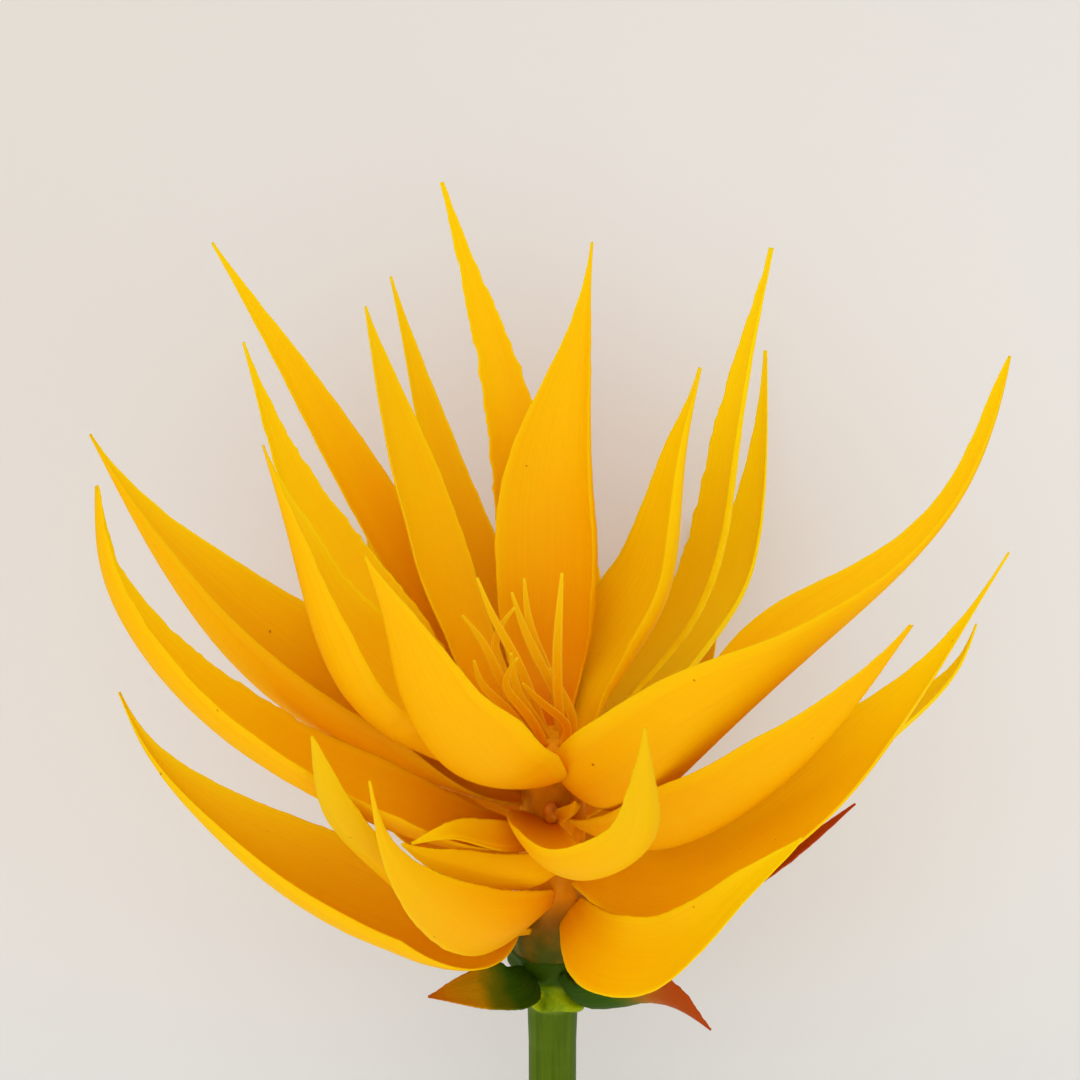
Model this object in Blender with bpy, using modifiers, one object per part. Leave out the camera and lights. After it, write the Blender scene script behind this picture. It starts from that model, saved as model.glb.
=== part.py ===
"""A yellow ginger flower on a cut stem, laid on its side.

Three tiers of long petals stand on a slim receptacle, which ends in a tuft of pointed filaments. Under it a
green calyx holds the short sepals and joins the stem. The flower is shaped upright in millimetres: the stem's
axis is Z, the origin is just above the stem's top, and azimuth 0 is the front, 90 the right, 180 the back and
-90 the left. It is then tipped onto its back as a whole, so that its front looks up and it rests on two of
its lower back petals and on the cut end of its stem.
"""

import math

import bmesh
import bpy
import numpy as np

MM = 0.001

# How the flower lies: the stem's slope, and where the origin of the upright flower is
STEM_SLOPE = 15.0
FLOWER_ORIGIN = (0.22, 1.67, 37.3)

# The stem, long enough for its cut end to touch the ground, as (radius, height) from its top down
STEM_RADIUS = 3.75
STEM_FOOT = (FLOWER_ORIGIN[2] - STEM_RADIUS * math.cos(math.radians(STEM_SLOPE))) / math.sin(
    math.radians(STEM_SLOPE)
)
STEM_PROFILE = ((4.2, -4.0), (3.95, -6.0), (STEM_RADIUS, -12.0), (STEM_RADIUS, -STEM_FOOT))

# The receptacle and the calyx under it, as (radius, height) from the top down
RECEPTACLE_PROFILE = (
    (2.5, 42.5),
    (4.3, 41.6),
    (4.6, 40.0),
    (5.0, 34.0),
    (5.2, 22.0),
    (6.0, 13.0),
    (6.8, 8.0),
    (6.9, 5.6),
)
CALYX_PROFILE = ((6.9, 5.3), (6.4, 2.0), (5.2, -1.5), (4.4, -3.7))
TURNED_STEPS = 24

# Petals and sepals
PETAL_THICKNESS = 1.0
PETAL_ROWS = 10
PETAL_COLUMNS = 4
PETAL_SEAT = 1.15
EDGE_HALF_WIDTH = 0.3
CUP_AT_BASE = 0.35
CUP_GROWTH = 2.2

# Filaments
FILAMENT_THICKNESS = 0.7
FILAMENT_ROWS = 7
FILAMENT_COLUMNS = 2
FILAMENT_HALF_WIDTH = 0.45
FILAMENT_FOOT = 0.4
FILAMENT_ROOT_HEIGHT = 43.1

# The small bud between the front petals
BUD_RADIUS = 1.1
BUD_HALF_LENGTH = 1.9
BUD_CENTRE = (-0.4, -6.6, 32.2)

SPLINE_STEPS = 100


def clear_scene():
    for item in list(bpy.data.objects):
        bpy.data.objects.remove(item, do_unlink=True)


def make_material(name, colour, roughness):
    made = bpy.data.materials.new(name)
    made.use_nodes = True
    shader = made.node_tree.nodes["Principled BSDF"]
    shader.inputs["Base Color"].default_value = (*colour, 1.0)
    shader.inputs["Roughness"].default_value = roughness
    shader.inputs["Metallic"].default_value = 0.0
    return made


def make_materials():
    return {
        "petal": make_material("petal", (1.0, 0.53, 0.01), 0.55),
        "filament": make_material("filament", (0.95, 0.42, 0.01), 0.6),
        "receptacle": make_material("receptacle", (0.45, 0.14, 0.01), 0.7),
        "calyx": make_material("calyx", (0.16, 0.3, 0.02), 0.5),
        "sepal": make_material("sepal", (0.2, 0.27, 0.03), 0.6),
        "bud": make_material("bud", (0.8, 0.3, 0.01), 0.6),
        "stem": make_material("stem", (0.09, 0.2, 0.01), 0.45),
    }


def make_parent():
    """The frame of the upright flower, tipped back and lifted to where the flower rests."""
    collection = bpy.data.collections.new("ginger_flower")
    bpy.context.scene.collection.children.link(collection)
    parent = bpy.data.objects.new("ginger_flower", None)
    parent.rotation_euler.x = math.radians(STEM_SLOPE - 90.0)
    parent.location = [value * MM for value in FLOWER_ORIGIN]
    collection.objects.link(parent)
    return parent


def add_object(name, mesh, location, material):
    """An object of the flower at a place in millimetres, shaded smooth."""
    mesh.materials.append(MATERIALS[material])
    mesh.polygons.foreach_set("use_smooth", [True] * len(mesh.polygons))
    made = bpy.data.objects.new(name, mesh)
    made.location = [value * MM for value in location]
    made.parent = FLOWER
    FLOWER.users_collection[0].objects.link(made)
    return made


def unit(vectors):
    return vectors / np.linalg.norm(vectors, axis=-1, keepdims=True)


def spline(points, at):
    """Points of the natural cubic spline through the given points, at shares of its chord length."""
    points = np.array(points, float)
    steps = np.linalg.norm(np.diff(points, axis=0), axis=1)
    knots = np.concatenate([[0.0], np.cumsum(steps)]) / steps.sum()
    gap = np.diff(knots)
    system = np.eye(len(points))
    pull = np.zeros_like(points)
    for i in range(1, len(points) - 1):
        system[i, i - 1 : i + 2] = gap[i - 1], 2.0 * (gap[i - 1] + gap[i]), gap[i]
        slope_after = (points[i + 1] - points[i]) / gap[i]
        slope_before = (points[i] - points[i - 1]) / gap[i - 1]
        pull[i] = 6.0 * (slope_after - slope_before)
    bend = np.linalg.solve(system, pull)
    span = np.clip(np.searchsorted(knots, at, side="right") - 1, 0, len(points) - 2)
    width = gap[span][:, None]
    after = (at - knots[span])[:, None] / width
    before = 1.0 - after
    curve = (before**3 - before) * bend[span] + (after**3 - after) * bend[span + 1]
    return before * points[span] + after * points[span + 1] + curve * width**2 / 6.0


def ribbon(points, facing, roll, roll_tip):
    """A midrib, and along it the directions across it and out of its inner face.

    The directions are carried along without twist, then rolled by a given angle.
    """
    at = np.linspace(0.0, 1.0, SPLINE_STEPS + 1)
    line = spline(points, at)
    tangent = unit(np.gradient(line, axis=0))
    normal = np.empty_like(line)
    carried = np.array(facing, float)
    for i, along in enumerate(tangent):
        carried = unit(carried - carried.dot(along) * along)
        normal[i] = carried
    across = np.cross(tangent, normal)
    turn = np.radians(roll + (roll_tip - roll) * at)[:, None]
    turned_normal = normal * np.cos(turn) + across * np.sin(turn)
    turned_across = across * np.cos(turn) - normal * np.sin(turn)
    return at, line, turned_across, turned_normal


def half_width(share, half, widest, taper, foot):
    """Half the width at a share of a blade's length: it swells from its foot, then narrows to its tip."""
    rise = min(share / widest, 1.0)
    fall = min((1.0 - share) / (1.0 - widest), 1.0)
    swell = foot + (1.0 - foot) * (1.0 - (1.0 - rise) ** 2)
    return half * swell * fall**taper * (1.0 + taper * (1.0 - fall)) + EDGE_HALF_WIDTH


def both(value):
    """The values of the two halves of a blade, given as a pair or as one number."""
    return value if isinstance(value, tuple) else (value, value)


def add_blade(
    name, points, facing, half, cup, widest, taper, foot, roll, roll_tip, grid, thickness, material
):
    """A thin blade along a midrib, each half of it bending up from the midrib as an arc."""
    at, line, across, normal = ribbon(points, facing, roll, roll_tip)
    columns, rows = grid
    sheet = bmesh.new()
    bmesh.ops.create_grid(sheet, x_segments=columns, y_segments=rows, size=1.0)
    for vertex in sheet.verts:
        share = (vertex.co.y + 1.0) / 2.0
        out = abs(vertex.co.x)
        side = int(vertex.co.x > 0.0)
        width = half_width(share, both(half)[side], both(widest)[side], both(taper)[side], foot)
        bend = math.radians(both(cup)[side]) * min(1.0, CUP_AT_BASE + CUP_GROWTH * share)
        sideways = math.copysign(width * math.sin(bend * out) / bend, vertex.co.x)
        lift = width * (1.0 - math.cos(bend * out)) / bend
        middle, direction, up = (
            np.array([np.interp(share, at, values[:, axis]) for axis in range(3)])
            for values in (line, across, normal)
        )
        vertex.co = (middle + direction * sideways + up * lift - points[0]) * MM
    mesh = bpy.data.meshes.new(name)
    sheet.to_mesh(mesh)
    sheet.free()
    blade = add_object(name, mesh, points[0], material)
    solid = blade.modifiers.new("thickness", "SOLIDIFY")
    solid.thickness = thickness * MM
    solid.offset = 0.0


def core_radius(height):
    """The radius of the receptacle or the calyx at a height."""
    radii, heights = zip(*reversed(RECEPTACLE_PROFILE + CALYX_PROFILE))
    return float(np.interp(height, heights, radii))


def outward(azimuth):
    return np.array([math.sin(math.radians(azimuth)), -math.cos(math.radians(azimuth)), 0.0])


def add_petal(
    name,
    azimuth,
    height,
    through,
    half,
    cup=45.0,
    widest=0.38,
    taper=2.0,
    foot=0.25,
    roll=0.0,
    roll_tip=None,
    seat=PETAL_SEAT,
    material="petal",
):
    """A petal or sepal from its seat through the points of its midrib to its tip.

    A pair of values belongs to its two halves, the counter-clockwise one first, as seen from above.
    """
    base = outward(azimuth) * (core_radius(height) + seat) + np.array([0.0, 0.0, height])
    inward = np.array([0.0, 0.0, 1.0]) - outward(azimuth)
    tip_roll = roll if roll_tip is None else roll_tip
    points = [tuple(base), *through]
    grid = (PETAL_COLUMNS, PETAL_ROWS)
    add_blade(
        name, points, inward, half, cup, widest, taper, foot, roll, tip_roll, grid, PETAL_THICKNESS, material
    )


def add_spread_petal(name, azimuth, height, path, half, **shape):
    """A petal whose midrib is given as (distance from the axis, height, swing from the azimuth)."""
    through = []
    for distance, rise, swing in path:
        away = outward(azimuth + swing) * distance
        through.append((away[0], away[1], rise))
    add_petal(name, azimuth, height, through, half, **shape)


def add_upper_inner_petals():
    """The five petals round the filaments."""
    add_petal(
        "petal_upper_front",
        -35,
        39,
        [(-8, -13, 41), (-15, -22, 48), (-22, -28, 65), (-24, -30, 76), (-27, -31, 87)],
        half=(16, 4.5),
        cup=(60, 75),
        widest=0.36,
        taper=1.5,
        foot=0.08,
        roll=2,
        seat=0.75,
    )
    add_petal(
        "petal_upper_inner_left",
        -125,
        40,
        [(-9, 7, 46), (-18, 14, 65), (-24, 19, 86), (-28.4, 20, 104.6)],
        half=(8.3, 5.6),
        widest=0.42,
        taper=(1, 1.5),
        foot=0.15,
    )
    add_petal(
        "petal_upper_inner_back",
        172,
        41,
        [(0, 12, 48), (1, 16, 60), (1, 21, 75), (4, 28, 94), (6, 33, 110)],
        half=(10, 9),
        cup=(40, 80),
        foot=0.15,
    )
    add_petal(
        "petal_upper_inner_right",
        111,
        40,
        [(7, 7, 46), (15.5, 11, 59), (19.3, 13.7, 81), (22.2, 14, 97)],
        half=(10.5, 8.3),
        cup=(40, 60),
        widest=0.34,
        taper=(1.8, 1.3),
        foot=0.15,
        seat=1.4,
    )
    add_petal(
        "petal_upper_front_right",
        35,
        37,
        [(9, -14, 37), (22, -15, 47), (40.7, -8, 62.4), (61, 1, 82.3), (68, 7, 102)],
        half=(19.5, 19),
        cup=(60, 85),
        widest=(0.35, 0.22),
        taper=(4, 4.5),
        foot=0.1,
        roll=-47,
        roll_tip=45,
        seat=0.75,
    )


def add_upper_middle_petals():
    """The seven petals behind the inner ones."""
    add_petal(
        "petal_upper_curled_left",
        -74,
        37.5,
        [(-18, -8, 45.5), (-31, -17, 60), (-38, -20, 84), (-42, -18, 98.5)],
        half=(11, 13),
        cup=(130, 35),
        widest=0.42,
        taper=1.6,
        foot=0.15,
        roll=-40,
    )
    add_petal(
        "petal_upper_left",
        -102,
        34,
        [(-14, 1.2, 43.7), (-25, 3, 58), (-38, 4, 80), (-46, 5, 105)],
        half=5.6,
        cup=40,
        taper=1.5,
        foot=0.15,
        roll=-30,
    )
    add_petal(
        "petal_upper_back_left",
        -130,
        33,
        [(-13, 12, 46), (-27, 18, 69), (-41, 23, 94), (-51.7, 26, 112.6)],
        half=(3.4, 5.6),
        cup=50,
        taper=1.4,
        roll=-20,
    )
    add_petal(
        "petal_upper_back_short",
        -152,
        31,
        [(-6, 18, 45), (-13, 27, 60), (-21.6, 37, 87), (-25.2, 40, 101.5)],
        half=(4.3, 4.8),
        cup=50,
        taper=1.5,
    )
    add_petal(
        "petal_upper_back",
        -175,
        36,
        [(-2, 17, 49), (-4, 25, 67), (-7.5, 33, 86), (-12, 38, 100), (-17.2, 43, 116)],
        half=(5.2, 4.4),
        taper=1.5,
    )
    add_petal(
        "petal_upper_back_right",
        130,
        36,
        [(10, 13, 41), (22, 21, 54), (28, 27, 79), (33.7, 34, 108.6)],
        half=(5.2, 5),
        cup=50,
        taper=1.4,
    )
    add_petal(
        "petal_upper_right",
        142,
        31,
        [(15, 22, 40), (28, 32, 51), (33, 38, 68), (33.5, 43, 87.8)],
        half=(6, 10),
        cup=50,
        widest=(0.38, 0.22),
        taper=(1.5, 2.6),
        foot=0.15,
    )


def add_upper_outer_petals():
    """The three broad petals at the sides of the upper tier."""
    add_petal(
        "petal_upper_outer_left",
        -92,
        31,
        [(-17, -3, 37.5), (-42.7, -8, 55.5), (-62.2, -5, 81.6), (-68.6, -2, 93.2)],
        half=(11.5, 13.5),
        cup=(150, 45),
        widest=0.45,
        taper=1.7,
        foot=0.1,
        roll=-28,
    )
    add_petal(
        "petal_middle_left",
        -62,
        27,
        [(-12, -12, 30.5), (-38, -22, 46.4), (-57.4, -27, 67), (-65, -27, 83.5), (-65.4, -27, 96)],
        half=(8, 9.6),
        cup=(100, 35),
        widest=(0.5, 0.3),
        taper=0.9,
        foot=0.08,
        roll=-15,
    )
    add_petal(
        "petal_middle_right_folded",
        60,
        28,
        [(14, -13.5, 30), (27, -19, 39), (44, -21, 58), (52.5, -20, 70.5)],
        half=(7, 11),
        cup=(60, 50),
        widest=0.32,
        taper=(1.7, 1.5),
        roll=-50,
    )


def add_middle_front_petals():
    """The narrow petal that bends up at the front, and the short ones about its foot."""
    add_petal(
        "petal_middle_front",
        -24,
        29.5,
        [(-2, -15, 32), (4, -32, 35), (12, -38, 43), (13.4, -41, 53), (13, -42, 65)],
        half=(5.5, 7.5),
        cup=60,
        taper=1.3,
        foot=0.4,
    )
    add_petal(
        "petal_middle_front_short",
        18,
        30,
        [(2.6, -10, 34), (3.3, -14.5, 38.3)],
        half=1.8,
        cup=50,
        widest=0.5,
        foot=0.4,
        seat=1,
    )
    add_petal(
        "petal_middle_front_left",
        -35,
        25.5,
        [(-8.5, -14, 30.5), (-13, -18.6, 34.3), (-17, -23.5, 37.2), (-21, -26.5, 37.7)],
        half=(0.6, 3.7),
        cup=30,
        widest=0.3,
        taper=1.2,
        foot=0.4,
        roll=-50,
    )
    add_petal(
        "petal_middle_front_low",
        30,
        23.6,
        [(-2.5, -12, 24.9), (-8.1, -16.6, 27.1), (-14, -21.2, 31.1), (-18.3, -26, 35), (-22.3, -31, 40.1)],
        half=(2.7, 2.6),
        cup=30,
        widest=0.3,
        taper=1.2,
        foot=0.4,
        roll=50,
        seat=1,
    )


def add_middle_back_petals():
    """The five petals of the middle tier that the front ones hide."""
    shape = {"widest": 0.55, "foot": 0.1, "seat": 0.75}
    add_spread_petal(
        "petal_middle_back_1", 144, 25, [(14, 26, 0), (30, 34, 0), (42, 43, 0), (47, 51, 0)], 6.4, **shape
    )
    add_spread_petal(
        "petal_middle_back_2", 173, 26, [(14, 27, 0), (30, 38, 0), (42, 51, 0), (46, 60, 0)], 6.4, **shape
    )
    add_spread_petal(
        "petal_middle_back_3", -162, 27, [(14, 28.5, 0), (29, 40, 0), (42, 53, 0), (46, 61, 0)], 6, **shape
    )
    add_spread_petal(
        "petal_middle_back_4", -132, 26, [(14, 28, 0), (30, 40, 0), (42, 54, 0), (47, 64, 0)], 6.8, **shape
    )
    add_spread_petal(
        "petal_middle_back_5", -105, 24, [(14, 25.5, 0), (31, 35, -3), (44, 47, -3), (50, 57, 0)], 7, **shape
    )


def add_lower_front_petals():
    """The petals of the lower tier at the front and the sides."""
    add_petal(
        "petal_lower_right_upper",
        75,
        20,
        [(13, -8, 20), (37, -15, 36), (57, -15, 62), (67, -13, 79)],
        half=(9.5, 10),
        widest=0.45,
        taper=(2.6, 2.4),
        foot=0.32,
        roll=8,
        seat=1.6,
    )
    add_petal(
        "petal_lower_right",
        95,
        16,
        [(17, 1, 16), (33, 1, 25), (53.5, 2, 43), (62.2, 3.5, 52.6), (64.4, 4, 59)],
        half=(8, 11),
        taper=1.5,
        foot=0.15,
        seat=0.8,
    )
    add_petal(
        "petal_lower_front_right",
        32,
        14,
        [(7, -17, 14), (16, -28, 19), (27, -37, 35), (36, -40, 46)],
        half=(6.5, 6.2),
        cup=(50, 20),
        widest=0.35,
        taper=(1.3, 0.7),
        foot=0.35,
        roll=30,
    )
    add_petal(
        "petal_lower_front_sliver",
        60,
        13,
        [(10.5, -12.5, 14.3), (17, -19.3, 18.2), (23, -22.7, 22.5)],
        half=2.4,
        cup=40,
    )
    add_petal(
        "petal_lower_left",
        -88,
        12,
        [(-14, -9, 12), (-28, -12, 18), (-51.6, -16, 37), (-61.7, -12.8, 48), (-65, -11, 55)],
        half=(12, 9),
        cup=(125, 50),
        taper=(1.9, 1.7),
        foot=0.1,
        roll=-20,
        seat=1.4,
    )
    add_petal(
        "petal_lower_front_left",
        -38,
        10.5,
        [(-13, -13, 15), (-24, -21, 29), (-33, -32.5, 48.8), (-35, -35, 60)],
        half=(3, 2.6),
        cup=(50, 30),
        widest=(0.7, 0.6),
        taper=(1, 1.2),
        foot=0.1,
        roll=25,
    )
    add_petal(
        "petal_lower_front",
        -9,
        15.5,
        [(-8, -19.5, 18.9), (-14.8, -27.5, 26.1), (-21, -34.8, 36.1), (-24.5, -39, 45), (-26.5, -41, 55.9)],
        half=6.3,
        cup=30,
        widest=0.25,
        taper=(2.1, 2.1),
        foot=0.35,
        roll=50,
        seat=1,
    )


def add_lower_back_petals():
    """The five hidden petals of the lower tier. The flower rests on the second and the fourth."""
    shape = {"widest": 0.5, "foot": 0.12, "seat": 0.75}
    add_spread_petal(
        "petal_lower_back_1", 121, 14, [(16, 14, 0), (34, 17, 0), (48, 24, 0), (52, 28, 0)], 7.6, **shape
    )
    add_spread_petal(
        "petal_lower_back_2", 156, 13, [(16, 13, 0), (37, 24, 0), (52.9, 40, 0), (56.7, 54, 0)], 9, **shape
    )
    add_spread_petal(
        "petal_lower_back_3", 180, 14, [(15, 15, 0), (34, 27, 4), (48, 46, 6), (52, 66, 4)], 8, **shape
    )
    add_spread_petal(
        "petal_lower_back_4", -152, 13, [(16, 13, 0), (38, 25, 0), (56, 43, 1), (60, 58, 3)], 9, **shape
    )
    add_spread_petal(
        "petal_lower_back_5", -119, 14, [(16, 15, 0), (39, 27, -4), (55, 44, -4), (61, 56, 0)], 6.5, **shape
    )


def add_sepals():
    """The short green blades under the petals."""
    shape = {"taper": 1.3, "material": "sepal"}
    path = [(-5, -9, 3), (-12, -15, 5), (-19, -19, 7)]
    add_petal("sepal_front_left", -45, 3, path, half=(3.8, 4.5), cup=30, **shape)
    path = [(3, -8, 1), (13, -13, 4), (24, -22, 3)]
    add_petal("sepal_front", 12, 3, path, half=(5.5, 5), widest=0.6, cup=(60, 30), **shape)
    path = [(13, -8, 12.5), (26, -9, 18.6), (46.5, -1, 30.7)]
    add_petal("sepal_right", 75, 7, path, half=4, cup=30, **shape)
    hidden = {"cup": 30, "foot": 0.15, "seat": 0.75}
    add_spread_petal("sepal_back_right", 150, 4, [(12, 5, 0), (22, 9, 4), (31, 15, 0)], 5, **shape, **hidden)
    add_spread_petal("sepal_back_left", -130, 4, [(12, 4, 0), (22, 9, -4), (30, 16, 0)], 5, **shape, **hidden)


def add_filament(number, root, through):
    """A pointed strap from its root on the crown to its tip, its face to the front."""
    add_blade(
        f"filament_{number:02d}",
        [(*root, FILAMENT_ROOT_HEIGHT), *through],
        facing=(0.0, -1.0, 0.0),
        half=FILAMENT_HALF_WIDTH,
        cup=35.0,
        widest=0.45,
        taper=1.2,
        foot=FILAMENT_FOOT,
        roll=0.0,
        roll_tip=0.0,
        grid=(FILAMENT_COLUMNS, FILAMENT_ROWS),
        thickness=FILAMENT_THICKNESS,
        material="filament",
    )


def add_filaments():
    """The tuft at the crown, from the front filament to the back one."""
    add_filament(1, (1.3, -3.4), [(2.2, -4, 45), (-0.8, -6, 50), (-4.6, -8, 55)])
    add_filament(2, (-1.2, -3.2), [(-2.8, -4.4, 46), (-5, -5.6, 50), (-7.1, -6.6, 54), (-5.4, -7.4, 59)])
    add_filament(3, (-3.0, -2.2), [(-5, -3, 45.5), (-8.1, -4.4, 50), (-10.9, -5.6, 54), (-11.9, -6.4, 58)])
    add_filament(4, (-0.7, -1.6), [(-2.7, -2.1, 46), (-4.9, -2.9, 50), (-6.4, -3.8, 58)])
    add_filament(5, (1.7, -1.9), [(0.9, -2.4, 48), (0.6, -2.4, 56), (1.3, -1, 70)])
    add_filament(6, (-3.2, -0.6), [(-5.4, -1.4, 47), (-8.1, -2, 53), (-11, -2.8, 60), (-13.7, -3.2, 64)])
    add_filament(7, (-1, -0.5), [(-3.2, -0.6, 49), (-6.4, -0.5, 57), (-9, 0.2, 62), (-11.5, 1.6, 68)])
    add_filament(8, (-2.9, 0.8), [(-5.6, 1.3, 46), (-8.6, 1.6, 53), (-8.3, 1.7, 59), (-5.8, 1.6, 63)])
    add_filament(9, (3.1, 0.1), [(2.9, 0.5, 45), (1.7, 0.8, 48), (-0.5, 1.1, 53)])
    add_filament(10, (0.8, 0.9), [(0.6, 1.9, 47), (-2, 3, 53), (-4.3, 4, 58), (-6.3, 4.8, 64)])
    add_filament(11, (-1.8, 2.3), [(-4.6, 3, 45), (-7, 3.2, 48.5), (-8.3, 3.4, 53)])
    add_filament(12, (0.9, 2.7), [(0, 4.2, 48), (-3.3, 6, 57), (-4.4, 7.6, 65)])


def add_turned(name, profile, material):
    """A closed solid turned about the flower's axis, from a profile of (radius, height), top down."""
    outline = [(0.0, profile[0][1]), *profile, (0.0, profile[-1][1])]
    mesh = bpy.data.meshes.new(name)
    corners = [(radius * MM, 0.0, height * MM) for radius, height in outline]
    mesh.from_pydata(corners, [(i, i + 1) for i in range(len(corners) - 1)], [])
    made = add_object(name, mesh, (0.0, 0.0, 0.0), material)
    turn = made.modifiers.new("turn", "SCREW")
    turn.steps = TURNED_STEPS
    turn.render_steps = TURNED_STEPS
    turn.use_merge_vertices = True
    turn.merge_threshold = 0.00001
    turn.use_smooth_shade = True


def add_bud():
    """The small closed bud that stands on the receptacle between two front petals."""
    shape = bmesh.new()
    bmesh.ops.create_uvsphere(shape, u_segments=12, v_segments=8, radius=BUD_RADIUS * MM)
    mesh = bpy.data.meshes.new("bud")
    shape.to_mesh(mesh)
    shape.free()
    bud = add_object("bud", mesh, BUD_CENTRE, "bud")
    bud.scale.z = BUD_HALF_LENGTH / BUD_RADIUS


clear_scene()
MATERIALS = make_materials()
FLOWER = make_parent()
add_turned("stem", STEM_PROFILE, "stem")
add_turned("calyx", CALYX_PROFILE, "calyx")
add_turned("receptacle", RECEPTACLE_PROFILE, "receptacle")
add_upper_inner_petals()
add_upper_middle_petals()
add_upper_outer_petals()
add_middle_front_petals()
add_middle_back_petals()
add_lower_front_petals()
add_lower_back_petals()
add_sepals()
add_filaments()
add_bud()
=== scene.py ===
"""A yellow ginger flower on a cut stem, laid on its side on a pale floor and seen from above.

The upright flower is shaped in millimetres, as its solids are: the stem's axis is Z, azimuth 0 is the
front, 90 the right, 180 the back and -90 the left. One matrix tips it onto its back, with the front up.
"""

import math

import bpy
import numpy as np
from mathutils import Matrix, Vector


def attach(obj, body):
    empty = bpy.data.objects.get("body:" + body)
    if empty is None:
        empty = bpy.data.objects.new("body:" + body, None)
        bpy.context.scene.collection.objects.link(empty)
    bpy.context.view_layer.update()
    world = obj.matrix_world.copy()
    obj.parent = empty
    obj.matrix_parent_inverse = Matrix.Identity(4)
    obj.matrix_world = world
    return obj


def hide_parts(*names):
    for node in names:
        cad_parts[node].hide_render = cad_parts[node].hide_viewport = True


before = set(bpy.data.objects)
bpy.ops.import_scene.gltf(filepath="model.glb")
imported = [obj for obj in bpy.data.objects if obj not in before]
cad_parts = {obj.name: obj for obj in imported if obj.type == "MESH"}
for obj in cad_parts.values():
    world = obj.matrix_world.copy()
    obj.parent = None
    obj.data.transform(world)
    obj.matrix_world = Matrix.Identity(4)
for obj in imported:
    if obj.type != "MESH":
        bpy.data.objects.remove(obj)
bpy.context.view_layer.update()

MM = 0.001
STEM_SLOPE = 15.0
FLOWER_ORIGIN = (0.22, 1.67, 37.3)
TO_WORLD = Matrix.Translation([value * MM for value in FLOWER_ORIGIN]) @ Matrix.Rotation(
    math.radians(STEM_SLOPE - 90.0), 4, "X"
)

# The camera: its height over the flower's own horizon in degrees, its distance, what it looks at, and the
# width that it shows there
CAMERA_ELEVATION = 25.0
CAMERA_DISTANCE = 700.0
CAMERA_TARGET = (-2.0, 0.0, 75.0)
FRAME_WIDTH = 162.0
SENSOR = 36.0
CLIP_START = 0.05
CLIP_END = 20.0

# The lights in metres, as (place, size, power, colour), what they aim at, and the sky's colour
LIGHTS = {
    "key": ((-0.5, 0.5, 1.3), 1.8, 2.7, (1.0, 0.985, 0.96)),
    "fill": ((0.3, -1.0, 0.8), 1.6, 1.7, (1.0, 0.99, 0.98)),
}
LIT_PLACE = (0.0, 0.05, 0.04)
SKY_COLOUR = (1.0, 0.985, 0.965, 1.0)

# Half the floor's side in metres
FLOOR_REACH = 3.0

# The core, as (radius, height) from the top down
RECEPTACLE_PROFILE = (
    (2.5, 42.5),
    (4.3, 41.6),
    (4.6, 40.0),
    (5.0, 34.0),
    (5.2, 22.0),
    (6.0, 13.0),
    (6.8, 8.0),
    (6.9, 5.6),
)
CALYX_PROFILE = ((6.9, 5.3), (6.4, 2.0), (5.2, -1.5), (4.4, -3.7))
STEM_RADIUS = 3.75
STEM_FOOT = (FLOWER_ORIGIN[2] - STEM_RADIUS * math.cos(math.radians(STEM_SLOPE))) / math.sin(
    math.radians(STEM_SLOPE)
)

# The fine skins of the calyx and the stem, which run a little under what is above them
CALYX_SKIN = ((5.4, 6.4), (6.7, 5.3), (6.3, 2.0), (5.2, -1.5), (4.7, -3.2), (4.35, -4.1))
STEM_SKIN = (
    (3.9, -3.2),
    (4.2, -4.0),
    (3.95, -6.0),
    (STEM_RADIUS, -12.0),
    (STEM_RADIUS, 0.3 - STEM_FOOT),
    (STEM_RADIUS - 0.2, -STEM_FOOT),
)

# Corners round the turned pieces, and the height of their rows
RECEPTACLE_FINENESS = (72, 0.6)
CALYX_FINENESS = (96, 0.3)
STEM_FINENESS = (96, 0.4)
BUD_FINENESS = (24, 0.15)
FEWEST_ROWS = 4

BUD_RADIUS = 1.1
BUD_HALF_LENGTH = 1.9
BUD_CENTRE = (-0.4, -6.6, 32.2)
BUD_PROFILE_STEPS = 24
BUD_END_ANGLE = 0.02

# How fine the blades are. The rows lie a little closer at the foot.
PETAL_GRID = (28, 96)
FILAMENT_GRID = (8, 40)
ROW_SPREAD = 1.05
SPLINE_STEPS = 240
ARC_STEPS = 8

# How a blade is cupped, how wide its end is, and how deep its root reaches into the core
CUP_AT_BASE = 0.35
CUP_GROWTH = 2.2
EDGE_HALF_WIDTH = 0.3
ROOT_DEPTH = 0.4

# A blade thins to its rims and its tip, and thickens on its midrib and at its foot
RIM_THINNING = 0.55
RIB_SHARE = 0.3
RIB_SPREAD = 0.3
TIP_THINNING = 0.6
FOOT_THICKENING = 0.5
FOOT_SPREAD = 0.05

# Small bites out of a rim, as (seed step, count of waves, fewest and most along the blade, depth in mm).
# They grow shallow where half the blade is narrower than the given width.
BITES = ((0, 5, 6.0, 20.0, 0.1), (7, 6, 30.0, 70.0, 0.05))
BITTEN_WIDTH = 1.5

# The rise and fall of a rim, in the same order, its height a share of the half width
RIM_WAVE = (3, 3, 1.5, 4.0, 0.05)

# How far along a blade a crease takes to begin and to end
CREASE_FADE = 0.12


def unit(vectors):
    return vectors / np.linalg.norm(vectors, axis=-1, keepdims=True)


def smooth(low, high, value):
    share = np.clip((value - low) / (high - low), 0.0, 1.0)
    return share * share * (3.0 - 2.0 * share)


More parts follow.
